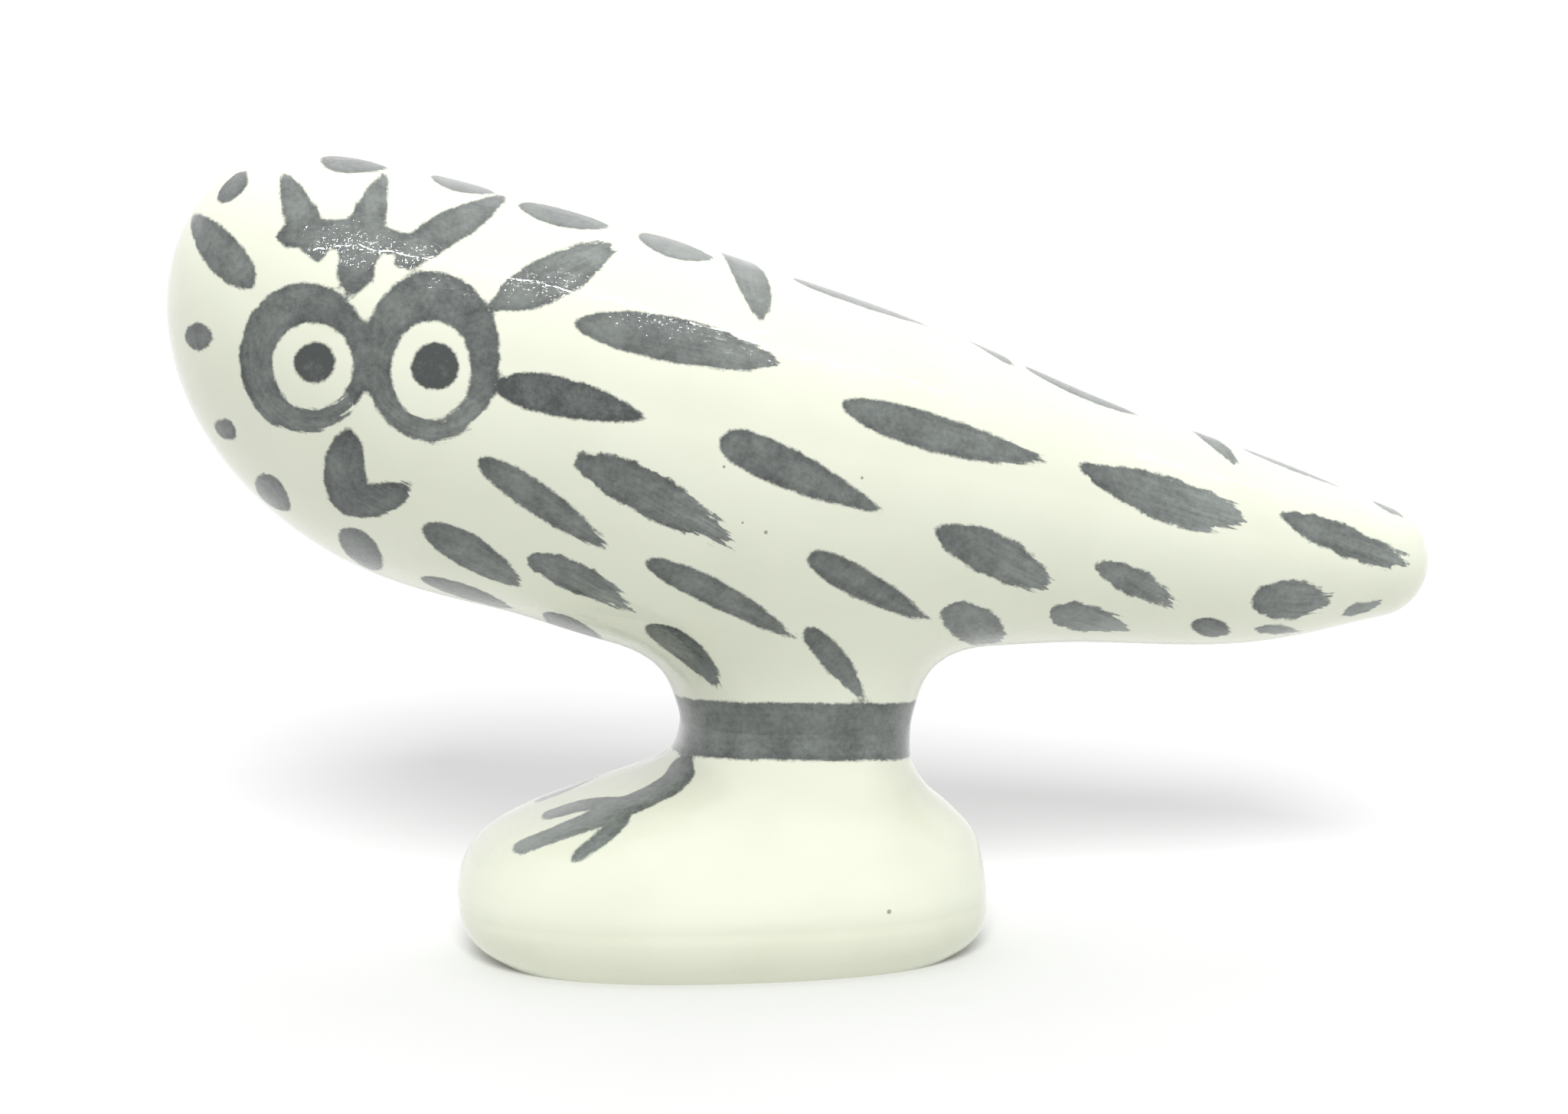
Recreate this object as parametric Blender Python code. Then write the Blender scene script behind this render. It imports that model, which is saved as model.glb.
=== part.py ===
"""Hollow ceramic owl on one flared foot, with its painted marks.

The head, trunk and tail are one slip-cast shell. The foot is a second shell, joined to the first with
a ring of slip under the painted ankle band, and closed below by a slab with a vent hole. Every
painted mark is a thin deposit that follows the surface under it.

Frame: +Z up, origin in the middle of the resting face, tail towards +X, the face painted on the
owl's left flank, towards -Y. Lengths are millimetres here and metres in the scene.
"""

from math import cos, pi, radians, sin

import bmesh
import bpy
import numpy as np
from mathutils import Vector
from mathutils.geometry import delaunay_2d_cdt

MM = 0.001

# Shells
WALL = 3.0
SEAT_GAP = 0.3
MESH_CELL = 3.3
RELAX_ROUNDS = 6
LEAST_SLOPE = 0.2
BODY_DEPTH = 0.96
ANKLE_BLEND = 8.0
FOOT_ROUNDNESS = 2.4
ROUGH_SEGMENTS = 48

# Levels of the two slip joints and of the slab
SLAB_TOP = 4.2
SLIP_THICK = 0.8
SLIP_INSET = 0.5
ANKLE_JOINT = 21.0
VENT_RADIUS = 2.0
VENT_X = 8.0
VENT_SEGMENTS = 24

# Middle line of the body, head to tail: x, z and the radius of the body there
SPINE = (
    (-40.5, 66.4, 3.0),
    (-34.5, 57.4, 13.0),
    (-26.0, 51.4, 17.0),
    (-13.0, 47.4, 17.5),
    (0.5, 43.2, 17.2),
    (14.5, 40.9, 14.5),
    (30.0, 37.9, 11.0),
    (45.5, 34.9, 8.5),
    (58.0, 33.4, 5.0),
)

# Outline of the foot, base to ankle: z, front x, back x, half depth
FOOT = (
    (-3.0, -14.0, 15.0, 9.0),
    (0.0, -19.5, 20.5, 12.6),
    (2.0, -22.2, 22.8, 14.4),
    (4.7, -23.2, 23.3, 15.0),
    (8.0, -22.8, 22.9, 14.8),
    (10.5, -21.3, 22.1, 14.0),
    (12.5, -18.0, 20.3, 12.8),
    (14.5, -12.5, 18.1, 11.4),
    (17.0, -5.4, 16.6, 10.2),
    (20.0, -3.5, 16.4, 9.8),
    (24.0, -3.1, 16.2, 9.8),
    (32.0, -1.0, 14.0, 8.0),
)

# Painted marks: deposits that follow the glaze
PAINT_GAP = 0.3
PAINT_THICK = 0.3
PAINT_CELL = 2.5
STROKE_STEPS = 8
BLUNTEST = 0.12
RING_STEPS = 28
INNER_RING_STEPS = 18
PUPIL_STEPS = 12

# The painter's view of the left side: marks are placed in a drawing plane through AIM, in millimetres
# right of and above AIM, and laid on the surface along sight lines from the eye.
AIM = np.array((5.5, 0.0, 34.9))
VIEW_TURN = radians(-8.0)
VIEW_RISE = radians(9.0)
EYE_DISTANCE = 450.0
SIGHT_START = 40.0
SIGHT_REACH = 80.0
SIGHT_STEP = 0.5
BISECTIONS = 10
PLAN_HEIGHT = 90.0

# Eye rings: outer and inner ellipses as centre and half sizes in the drawing plane
EYE_RINGS = (
    ((-41.7, 17.3, 5.7, 6.5), (-41.0, 16.7, 3.6, 3.9)),
    ((-30.7, 17.4, 5.9, 7.5), (-30.7, 16.3, 3.6, 4.4)),
)
PUPILS = {
    "right_pupil": (-40.9, 16.9, 1.9, 1.9),
    "left_pupil": (-30.4, 16.6, 2.2, 2.2),
}

# Brush strokes of the larger marks: points along the stroke, each with the stroke's width there
CROWN_STROKES = (
    ((-43.4, 27.9, 1.8), (-39.5, 28.1, 2.6), (-35.0, 27.6, 2.2), (-31.5, 26.9, 1.4)),
    ((-43.5, 33.0, 1.0), (-42.7, 31.4, 2.4), (-41.5, 28.4, 3.0), (-40.5, 26.2, 1.2)),
    ((-34.8, 33.2, 0.6), (-35.6, 31.2, 2.2), (-36.8, 27.6, 3.4), (-37.4, 24.4, 3.0)),
    ((-24.6, 31.2, 0.8), (-27.0, 29.8, 2.3), (-30.0, 28.2, 3.0), (-33.0, 26.0, 2.2)),
)
BEAK_STROKES = (
    ((-38.0, 10.0, 2.6), (-38.3, 8.0, 3.5), (-38.0, 6.0, 3.6), (-37.2, 4.8, 2.4)),
    ((-38.4, 4.9, 2.4), (-35.8, 4.9, 2.9), (-34.0, 5.4, 2.4), (-32.9, 6.1, 1.2)),
)
LEG_STROKES = (
    ((-8.9, -18.5, 1.8), (-10.2, -20.0, 1.8), (-14.2, -21.9, 1.8), (-23.3, -25.5, 1.3)),
    ((-14.0, -21.3, 1.0), (-17.4, -21.6, 1.1), (-20.9, -22.6, 0.8)),
    ((-13.8, -22.6, 1.3), (-15.4, -24.1, 1.5), (-18.3, -26.3, 1.2)),
)

# Painted band round the ankle: its middle is lifted on the near side and lowered at the back
BAND_CENTRE_X = 6.6
BAND_MIDDLE = 20.5
BAND_NEAR_RISE = 1.2
BAND_BACK_DROP = 0.8
BAND_HEIGHT = 4.8
BAND_STEPS = 30
BAND_ROWS = 3

# Feather dashes of the flank: head and tail of the stroke in the drawing plane, its width, how far along
# it is fullest, and how far its middle bends to the left of its heading
FLANK_FEATHERS = (
    (-25.6, 21.8, -14.8, 27.2, 3.9, 0.50, -0.2),
    (-18.4, 20.4, -0.4, 16.8, 3.9, 0.45, 0.3),
    (-25.2, 15.0, -12.0, 12.1, 3.4, 0.35, 0.2),
    (4.9, 13.4, 22.9, 8.3, 3.2, 0.38, -0.3),
    (-5.6, 10.4, 8.7, 3.9, 3.5, 0.25, 0.0),
    (-18.4, 8.6, -4.2, 0.6, 3.8, 0.40, 0.6),
    (-26.6, 8.5, -15.6, 0.9, 2.3, 0.35, 0.1),
    (-31.5, 2.7, -22.8, -2.5, 2.9, 0.40, 0.2),
    (-22.2, 0.0, -13.2, -4.6, 2.6, 0.38, 0.3),
    (-12.2, -0.3, 1.2, -7.2, 2.3, 0.35, 0.3),
    (2.0, 0.2, 12.9, -5.6, 2.6, 0.28, 0.0),
    (13.1, 2.5, 23.4, -2.6, 3.7, 0.48, 0.2),
    (25.7, 7.9, 40.1, 3.1, 3.9, 0.62, -0.3),
    (27.0, -0.5, 34.4, -4.6, 2.2, 0.40, 0.3),
    (43.0, 3.9, 54.5, -0.8, 2.5, 0.50, -0.1),
    (40.6, -3.9, 47.9, -3.6, 3.3, 0.45, 0.0),
    (-31.7, -1.8, -23.6, -4.5, 1.2, 0.40, 0.1),
    (-21.0, -4.9, -14.9, -8.1, 1.5, 0.40, 0.1),
    (-12.1, -6.0, -5.4, -11.5, 2.2, 0.40, 0.7),
    (1.8, -6.1, 7.2, -12.4, 2.1, 0.35, 0.1),
    (13.8, -4.6, 19.4, -7.0, 3.4, 0.42, -0.1),
    (23.1, -4.8, 30.0, -6.1, 2.4, 0.35, 0.1),
    (35.4, -5.8, 39.0, -6.5, 1.6, 0.45, 0.0),
    (48.5, -5.0, 52.1, -3.8, 1.0, 0.40, 0.0),
    (40.9, -6.2, 44.9, -6.5, 0.8, 0.40, 0.0),
)

# Dashes in front of the face, placed the same way
HEAD_FEATHERS = (
    (-46.7, 33.6, -49.3, 30.9, 1.7, 0.50, 0.1),
    (-51.5, 29.9, -46.0, 23.3, 3.6, 0.58, -0.2),
    (-52.2, 19.5, -49.6, 18.9, 2.6, 0.50, 0.0),
    (-49.3, 12.0, -47.7, 10.2, 1.7, 0.40, 0.0),
    (-45.8, 7.2, -43.0, 4.0, 2.3, 0.40, 0.0),
    (-38.6, 2.3, -34.9, -1.2, 2.6, 0.40, 0.1),
)

# Dashes along the crown of the back, placed the same way but seen from above, as x and y
BACK_FEATHERS = (
    (-34.4, -3.0, -28.6, -2.6, 4.4, 0.30, 0.0),
    (-25.0, -2.4, -19.5, -2.2, 4.4, 0.35, 0.0),
    (-17.8, -4.6, -9.8, -3.8, 4.4, 0.40, 0.0),
    (-7.6, -4.6, -1.0, -3.6, 4.6, 0.40, 0.0),
    (0.9, 3.0, 2.0, -11.4, 4.2, 0.62, 0.3),
    (6.0, -1.7, 18.2, -1.5, 3.4, 0.35, 0.0),
    (21.8, 1.2, 25.2, -3.4, 2.6, 0.40, 0.0),
    (26.4, -1.5, 36.8, -1.9, 3.2, 0.35, 0.0),
    (41.8, 0.8, 44.6, -4.8, 2.2, 0.50, 0.0),
    (46.0, -0.6, 54.8, -0.8, 2.4, 0.40, 0.0),
    (58.0, -0.4, 60.4, -1.6, 1.8, 0.40, 0.0),
)

# Colour and roughness of each material
GLAZE = ((0.86, 0.87, 0.79), 0.12)
BISQUE = ((0.80, 0.77, 0.68), 0.85)
SLIP = ((0.72, 0.69, 0.60), 0.9)
PAINT = ((0.16, 0.19, 0.18), 0.3)
CREASE = radians(40.0)


# ---------------------------------------------------------------- surface

def smooth_line(stations, steps=12):
    """Points of a smooth curve through the stations, which may have any number of columns."""
    knots = np.array(stations)
    ends = 2 * knots[0] - knots[1], 2 * knots[-1] - knots[-2]
    padded = np.vstack([ends[0], knots, ends[1]])
    share = np.linspace(0, 1, steps, endpoint=False)[:, None]
    pieces = []
    for before, start, stop, after in zip(padded, padded[1:], padded[2:], padded[3:]):
        pieces.append(
            start
            + 0.5 * share * (stop - before)
            + 0.5 * share**2 * (2 * before - 5 * start + 4 * stop - after)
            + 0.5 * share**3 * (3 * start - before - 3 * stop + after)
        )
    return np.vstack(pieces + [knots[-1:]])


SPINE_LINE = smooth_line(SPINE)
FOOT_LINE = smooth_line(FOOT)


def body_distance(points):
    """Distance to the body's skin: the nearest of the balls strung along the spine."""
    flat = points / (1.0, BODY_DEPTH, 1.0)
    nearest = np.full(len(points), np.inf)
    for x, z, radius in SPINE_LINE:
        reach = np.linalg.norm(flat - (x, 0.0, z), axis=1) - radius
        nearest = np.minimum(nearest, reach)
    return nearest


def foot_distance(points):
    """Sideways distance to the foot, whose level sections are rounded ovals."""
    levels, fronts, backs, depths = FOOT_LINE.T
    front = np.interp(points[:, 2], levels, fronts)
    back = np.interp(points[:, 2], levels, backs)
    depth = np.interp(points[:, 2], levels, depths)
    length = (back - front) / 2
    along = np.abs(points[:, 0] - (front + back) / 2) / length
    across = np.abs(points[:, 1]) / depth
    share = (along**FOOT_ROUNDNESS + across**FOOT_ROUNDNESS) ** (1 / FOOT_ROUNDNESS)
    return (share - 1) * np.minimum(length, depth)


def owl_distance(points):
    """Body and foot flowing into each other at the ankle, closed off above and below the foot."""
    body = body_distance(points)
    foot = np.maximum(foot_distance(points), points[:, 2] - FOOT[-1][0])
    foot = np.maximum(foot, FOOT[0][0] - points[:, 2])
    share = np.clip(0.5 + 0.5 * (foot - body) / ANKLE_BLEND, 0, 1)
    return foot + share * (body - foot) - ANKLE_BLEND * share * (1 - share)


def slope(points, step=0.05):
    """Gradient of the distance by central differences."""
    columns = []
    for axis in np.eye(3):
        rise = owl_distance(points + step * axis) - owl_distance(points - step * axis)
        columns.append(rise / (2 * step))
    return np.stack(columns, axis=1)


def settle(points, level=0.0, rounds=6):
    """Move points along the slope until they lie at the given level."""
    for _ in range(rounds):
        steep = slope(points)
        square = np.maximum((steep**2).sum(axis=1, keepdims=True), LEAST_SLOPE**2)
        points = points - (owl_distance(points) - level)[:, None] * steep / square
    return points


def outward(points):
    """Unit normals of the skin."""
    steep = slope(points)
    return steep / np.linalg.norm(steep, axis=1, keepdims=True)


# ---------------------------------------------------------------- scene helpers

def clear_scene():
    for item in list(bpy.data.objects):
        bpy.data.objects.remove(item, do_unlink=True)


def material(name, colour, roughness):
    made = bpy.data.materials.new(name)
    made.use_nodes = True
    shader = made.node_tree.nodes["Principled BSDF"]
    shader.inputs["Base Color"].default_value = (*colour, 1.0)
    shader.inputs["Roughness"].default_value = roughness
    made.diffuse_color = (*colour, 1.0)
    return made


def add_object(name, mesh, look):
    mesh.shade_smooth()
    mesh.set_sharp_from_angle(angle=CREASE)
    mesh.materials.append(material(name, *look))
    item = bpy.data.objects.new(name, mesh)
    bpy.context.collection.objects.link(item)
    return item


def mesh_from(name, points, faces):
    mesh = bpy.data.meshes.new(name)
    mesh.from_pydata([tuple(point) for point in points], [], [tuple(face) for face in faces])
    return mesh


def points_of(mesh):
    return np.array([vertex.co for vertex in mesh.vertices], dtype=float)


# ---------------------------------------------------------------- shells

def rough_owl():
    """Balls along the spine and a stack of ovals for the foot, as one loose mesh in millimetres."""
    rough = bmesh.new()
    for x, z, radius in SPINE_LINE[::3]:
        ball = bmesh.ops.create_icosphere(rough, subdivisions=4, radius=radius)
        bmesh.ops.translate(rough, verts=ball["verts"], vec=(x, 0.0, z))
    rings = []
    for z, front, back, depth in FOOT_LINE[::3]:
        disc = bmesh.ops.create_circle(rough, segments=ROUGH_SEGMENTS, radius=1.0)["verts"]
        bmesh.ops.scale(rough, verts=disc, vec=((back - front) / 2, depth, 1.0))
        bmesh.ops.translate(rough, verts=disc, vec=((front + back) / 2, 0.0, z))
        rings.append(disc)
    for low, high in zip(rings, rings[1:]):
        for corner in range(ROUGH_SEGMENTS):
            after = (corner + 1) % ROUGH_SEGMENTS
            rough.faces.new((low[corner], low[after], high[after], high[corner]))
    rough.faces.new(list(reversed(rings[0])))
    rough.faces.new(rings[-1])
    mesh = bpy.data.meshes.new("rough_owl")
    rough.to_mesh(mesh)
    rough.free()
    return mesh


def even_skin():
    """Evenly meshed outer skin: the rough owl remeshed, smoothed and settled on the true surface."""
    guide = bpy.data.objects.new("guide", rough_owl())
    bpy.context.collection.objects.link(guide)
    remesh = guide.modifiers.new("Remesh", "REMESH")
    remesh.mode = "VOXEL"
    remesh.voxel_size = MESH_CELL
    remeshed = guide.evaluated_get(bpy.context.evaluated_depsgraph_get())
    skin = bpy.data.meshes.new_from_object(remeshed)
    bpy.data.objects.remove(guide, do_unlink=True)
    work = bmesh.new()
    work.from_mesh(skin)
    for _ in range(RELAX_ROUNDS):
        bmesh.ops.smooth_vert(
            work,
            verts=work.verts,
            factor=0.5,
            use_axis_x=True,
            use_axis_y=True,
            use_axis_z=True,
        )
        settled = settle(np.array([vertex.co for vertex in work.verts]))
        for vertex, place in zip(work.verts, settled):
            vertex.co = place
    work.to_mesh(skin)
    work.free()
    return skin


def cut_level(shape, level, keep_above):
    """Cut the bmesh at a level and drop one side."""
    bmesh.ops.bisect_plane(
        shape,
        geom=list(shape.verts) + list(shape.edges) + list(shape.faces),
        dist=1e-4,
        plane_co=(0.0, 0.0, level),
        plane_no=(0.0, 0.0, 1.0),
        clear_outer=not keep_above,
        clear_inner=keep_above,
    )


def skin_between(points, faces, low, high, flip):
    """The part of a skin between two levels as a bmesh; None leaves that end whole."""
    shape = bmesh.new()
    made = [shape.verts.new(point) for point in points]
    for face in faces:
        shape.faces.new([made[index] for index in (reversed(face) if flip else face)])
    if high is not None:
        cut_level(shape, high, keep_above=False)
    if low is not None:
        cut_level(shape, low, keep_above=True)
    return shape


def shell_between(name, skin, low, high, outer=0.0, inner=-WALL):
    """Hollow shell between two levels: outer and inner skins joined by flat rims at each open end."""
    faces = [tuple(face.vertices) for face in skin.polygons]
    points = points_of(skin)
    mesh = bpy.data.meshes.new(name)
    both = bmesh.new()
    for level, flip in ((outer, False), (inner, True)):
        moved = settle(points, level) if level else points
        layer = skin_between(moved, faces, low, high, flip)
        layer.to_mesh(mesh)
        layer.free()
        both.from_mesh(mesh)
    for rim_level in (low, high):
        if rim_level is not None:
            rim = [edge for edge in both.edges if edge.is_boundary and on_level(edge, rim_level)]
            bmesh.ops.bridge_loops(both, edges=rim)
    finish(both, mesh)
    return mesh


def on_level(edge, level):
    return all(abs(vertex.co.z - level) < 0.01 for vertex in edge.verts)


def finish(shape, mesh):
    """Triangulate, point the faces outwards, turn millimetres into metres and write the mesh."""
    bmesh.ops.remove_doubles(shape, verts=shape.verts, dist=0.01)
    bmesh.ops.triangulate(shape, faces=shape.faces)
    bmesh.ops.recalc_face_normals(shape, faces=shape.faces)
    bmesh.ops.scale(shape, verts=shape.verts, vec=(MM, MM, MM))
    shape.to_mesh(mesh)
    shape.free()


def base_plate(skin):
    """Slab under the foot shell, with its vent hole drilled through."""
    faces = [tuple(face.vertices) for face in skin.polygons]
    slab = skin_between(points_of(skin), faces, 0.0, SLAB_TOP, flip=False)
    bmesh.ops.holes_fill(slab, edges=[edge for edge in slab.edges if edge.is_boundary])
    mesh = bpy.data.meshes.new("base_plate")
    finish(slab, mesh)
    item = add_object("base_plate", mesh, BISQUE)
    drill = bpy.data.meshes.new("vent_drill")
    hole = bmesh.new()
    bmesh.ops.create_cone(
        hole,
        cap_ends=True,
        segments=VENT_SEGMENTS,
        radius1=VENT_RADIUS * MM,
        radius2=VENT_RADIUS * MM,
        depth=4 * SLAB_TOP * MM,
    )
    bmesh.ops.translate(hole, verts=hole.verts, vec=(VENT_X * MM, 0.0, 0.0))
    hole.to_mesh(drill)
    hole.free()
    cutter = bpy.data.objects.new("vent_drill", drill)
    bpy.context.collection.objects.link(cutter)
    cutter.hide_render = True
    cutter.display_type = "WIRE"
    cut = item.modifiers.new("Vent", "BOOLEAN")
    cut.operation = "DIFFERENCE"
    cut.solver = "EXACT"
    cut.object = cutter


def add_shells(skin):
    """The two castings, the slab, and the rings of slip between them."""
    slip_low = ANKLE_JOINT - SLIP_THICK / 2
    slip_high = ANKLE_JOINT + SLIP_THICK / 2
    base_slip_high = SLAB_TOP + SEAT_GAP + SLIP_THICK
    foot_low = base_slip_high + SEAT_GAP
    levels = {
        "body_shell": (slip_high + SEAT_GAP, None, 0.0, GLAZE),
        "ankle_joint_slip": (slip_low, slip_high, -SLIP_INSET, SLIP),
        "foot_shell": (foot_low, slip_low - SEAT_GAP, 0.0, GLAZE),
        "base_joint_slip": (SLAB_TOP + SEAT_GAP, base_slip_high, -SLIP_INSET, SLIP),
    }
    for name, (low, high, outer, look) in levels.items():
        mesh = shell_between(name, skin, low, high, outer=outer)
        add_object(name, mesh, look)
    base_plate(skin)


# ---------------------------------------------------------------- painted marks

def view_axes():
    """Right, up and towards-the-eye directions of the drawing plane."""
    right = np.array((cos(VIEW_TURN), sin(VIEW_TURN), 0.0))
    towards = np.array(
        (sin(VIEW_TURN) * cos(VIEW_RISE), -cos(VIEW_TURN) * cos(VIEW_RISE), sin(VIEW_RISE))
    )
    return right, np.cross(towards, right), towards


def march(starts, directions):
    """Skin points that straight lines meet first, or pass nearest to if they miss."""
    reach = np.arange(0.0, SIGHT_REACH, SIGHT_STEP)
    lines = starts[:, None] + reach[:, None] * directions[:, None]
    gaps = owl_distance(lines.reshape(-1, 3)).reshape(len(starts), -1)
    within = gaps < 0
    first = np.where(within.any(axis=1), within.argmax(axis=1), gaps.argmin(axis=1))
    far = reach[first][:, None]
    near = far - SIGHT_STEP
    for _ in range(BISECTIONS):
        middle = (near + far) / 2
        hit = (owl_distance(starts + middle * directions) < 0)[:, None]
        near, far = np.where(hit, near, middle), np.where(hit, middle, far)
    return settle(starts + far * directions)


def lay_from_side(flat):
    """Skin points behind points of the side drawing."""
    right, up, towards = view_axes()
    eye = AIM + EYE_DISTANCE * towards
    targets = AIM + flat[:, :1] * right + flat[:, 1:] * up
    directions = targets - eye
    directions /= np.linalg.norm(directions, axis=1, keepdims=True)
    return march(targets - SIGHT_START * directions, directions)


def lay_from_above(flat):
    """Skin points under points of the plan drawing."""
    starts = np.column_stack([flat, np.full(len(flat), PLAN_HEIGHT)])
    directions = np.tile((0.0, 0.0, -1.0), (len(flat), 1))
    return march(starts, directions)


def oval(u, v, half_width, half_height, steps=RING_STEPS):
    """Ellipse in the drawing plane from its centre and half sizes."""
    angles = np.linspace(0, 2 * pi, steps, endpoint=False)
    return np.column_stack([u + half_width * np.cos(angles), v + half_height * np.sin(angles)])


def brush_outline(stations):
    """Outline of a stroke from points with widths: round where it starts, narrowing where it ends."""
    line = smooth_line(stations, steps=3)
    centre, half = line[:, :2], line[:, 2:] / 2
    heading = np.gradient(centre, axis=0)
    heading /= np.linalg.norm(heading, axis=1, keepdims=True)
    side = np.column_stack([-heading[:, 1], heading[:, 0]])
    start = centre[:1] - heading[:1] * half[:1]
    stop = centre[-1:] + heading[-1:] * half[-1:]
    return np.vstack([start, centre + side * half, stop, (centre - side * half)[::-1]])


def dash_outline(dash):
    """Outline of a feather dash: the end nearer its fullest place is blunt, the other one pointed."""
    head, tail, (width, fullest, bend) = np.array(dash[:2]), np.array(dash[2:4]), dash[4:]
    heading = tail - head
    side = np.array((-heading[1], heading[0])) / np.linalg.norm(heading)
    share = (1 - np.cos(np.linspace(0, pi, STROKE_STEPS + 2)[1:-1])) / 2
    from_head = 1 - np.clip(1 - share / fullest, 0, 1) ** 2
    from_tail = 1 - np.clip(1 - (1 - share) / (1 - fullest), 0, 1) ** 2
    half = width / 2 * from_head ** (BLUNTEST + fullest) * from_tail ** (BLUNTEST + 1 - fullest)
    middle = head + share[:, None] * heading + (4 * bend * share * (1 - share))[:, None] * side
    edge = half[:, None] * side
    return np.vstack([head, middle + edge, tail, (middle - edge)[::-1]])


def inside(points, outline):
    """Whether flat points lie inside a closed outline, by counting crossings."""
    crossings = np.zeros(len(points), dtype=bool)
    for (x0, y0), (x1, y1) in zip(outline, np.roll(outline, -1, axis=0)):
        spans = (y0 > points[:, 1]) != (y1 > points[:, 1])
        rise = y1 - y0 if y1 != y0 else 1e-12
        crossings ^= spans & (points[:, 0] < x0 + (points[:, 1] - y0) * (x1 - x0) / rise)
    return crossings


def covered(points, outlines, holes):
    """Whether flat points lie in any outline and in no hole."""
    filled = np.any([inside(points, outline) for outline in outlines], axis=0)
    for hole in holes:
        filled &= ~inside(points, hole)
    return filled


def flat_patch(outlines, holes):
    """Triangles that fill the outlines less the holes, with inner points so that they can bend."""
    loops = list(outlines) + list(holes)
    low = np.min([loop.min(axis=0) for loop in loops], axis=0)
    high = np.max([loop.max(axis=0) for loop in loops], axis=0)
    columns = np.arange(low[0] + PAINT_CELL / 2, high[0], PAINT_CELL)
    rows = np.arange(low[1] + PAINT_CELL / 2, high[1], PAINT_CELL)
    grid = np.array([(x, y) for x in columns for y in rows]).reshape(-1, 2)
    points = [Vector(point) for loop in loops for point in loop]
    edges = []
    first = 0
    for loop in loops:
        edges += [(first + index, first + (index + 1) % len(loop)) for index in range(len(loop))]
        first += len(loop)
    points += [Vector(point) for point in grid[covered(grid, outlines, holes)]]
    corners, _, triangles, *_ = delaunay_2d_cdt(points, edges, [], 0, 1e-4)
    corners = np.array([tuple(corner) for corner in corners])
    triangles = np.array([tuple(triangle) for triangle in triangles])
    centres = corners[triangles].mean(axis=1)
    return corners, triangles[covered(centres, outlines, holes)]


def thicken(name, skin_points, triangles):
    """Closed thin deposit that stands just off the skin points."""
    used = np.unique(triangles)
    renumber = np.full(len(skin_points), -1)
    renumber[used] = np.arange(len(used))
    triangles = renumber[triangles]
    feet = skin_points[used]
    normals = outward(feet)
    low = feet + PAINT_GAP * normals
    high = feet + (PAINT_GAP + PAINT_THICK) * normals
    count = len(used)
    directed = {(a, b) for face in triangles for a, b in zip(face, np.roll(face, -1))}
    rim = [(a, b) for a, b in directed if (b, a) not in directed]
    faces = [tuple(face + count) for face in triangles]
    faces += [tuple(face[::-1]) for face in triangles]
    faces += [(a, b, b + count, a + count) for a, b in sorted(rim)]
    mesh = mesh_from(name, np.vstack([low, high]), faces)
    shape = bmesh.new()
    shape.from_mesh(mesh)
    finish(shape, mesh)
    return mesh


def add_mark(name, outlines, holes=(), lay=lay_from_side):
    flat, triangles = flat_patch(outlines, holes)
    mesh = thicken(name, lay(flat), triangles)
    add_object(name, mesh, PAINT)
    return mesh


def add_ankle_band():
    """Painted band right round the ankle, over the joint."""
    angles = np.linspace(0, 2 * pi, BAND_STEPS, endpoint=False)
    middles = BAND_MIDDLE + BAND_NEAR_RISE * np.clip(-np.sin(angles), 0, 1)
    middles -= BAND_BACK_DROP * (1 + np.cos(angles)) / 2
    outwards = np.column_stack([np.cos(angles), np.sin(angles), np.zeros(BAND_STEPS)])
    rows = []
    for offset in np.linspace(-BAND_HEIGHT / 2, BAND_HEIGHT / 2, BAND_ROWS):
        centres = np.zeros((BAND_STEPS, 3))
        centres[:, 0] = BAND_CENTRE_X
        centres[:, 2] = middles + offset
        rows.append(march(centres + SIGHT_START * outwards, -outwards))
    triangles = []
    for first in range(0, (BAND_ROWS - 1) * BAND_STEPS, BAND_STEPS):
        for step in range(BAND_STEPS):
            here, there = first + step, first + (step + 1) % BAND_STEPS
            triangles += [(here, there, there + BAND_STEPS), (here, there + BAND_STEPS, here + BAND_STEPS)]
    mesh = thicken("ankle_band", np.vstack(rows), np.array(triangles))
    add_object("ankle_band", mesh, PAINT)


def add_leg_marks():
    """Leg and three toes on the left of the foot, and the same mirrored on the right."""
    left = add_mark("left_leg_mark", [brush_outline(stroke) for stroke in LEG_STROKES])
    right = left.copy()
    right.name = "right_leg_mark"
    right.materials.clear()
    mirrored = bmesh.new()
    mirrored.from_mesh(right)
    bmesh.ops.scale(mirrored, verts=mirrored.verts, vec=(1.0, -1.0, 1.0))
    bmesh.ops.reverse_faces(mirrored, faces=mirrored.faces)
    mirrored.to_mesh(right)
    mirrored.free()
    add_object("right_leg_mark", right, PAINT)


def add_face():
    outer = [oval(*ring) for ring, _ in EYE_RINGS]
    inner = [oval(*ring, steps=INNER_RING_STEPS) for _, ring in EYE_RINGS]
    add_mark("eye_rings", outer, inner)
    for name, pupil in PUPILS.items():
        add_mark(name, [oval(*pupil, steps=PUPIL_STEPS)])
    add_mark("crown_mark", [brush_outline(stroke) for stroke in CROWN_STROKES])
    add_mark("beak_mark", [brush_outline(stroke) for stroke in BEAK_STROKES])


def add_feathers():
    groups = (
        ("flank_feather", FLANK_FEATHERS, lay_from_side),
        ("head_feather", HEAD_FEATHERS, lay_from_side),
        ("back_feather", BACK_FEATHERS, lay_from_above),
    )
    for group, dashes, lay in groups:
        for number, dash in enumerate(dashes, start=1):
            add_mark(f"{group}_{number:02d}", [dash_outline(dash)], lay=lay)


def main():
    clear_scene()
    skin = even_skin()
    add_shells(skin)
    bpy.data.meshes.remove(skin)
    add_ankle_band()
    add_leg_marks()
    add_face()
    add_feathers()


main()
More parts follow.
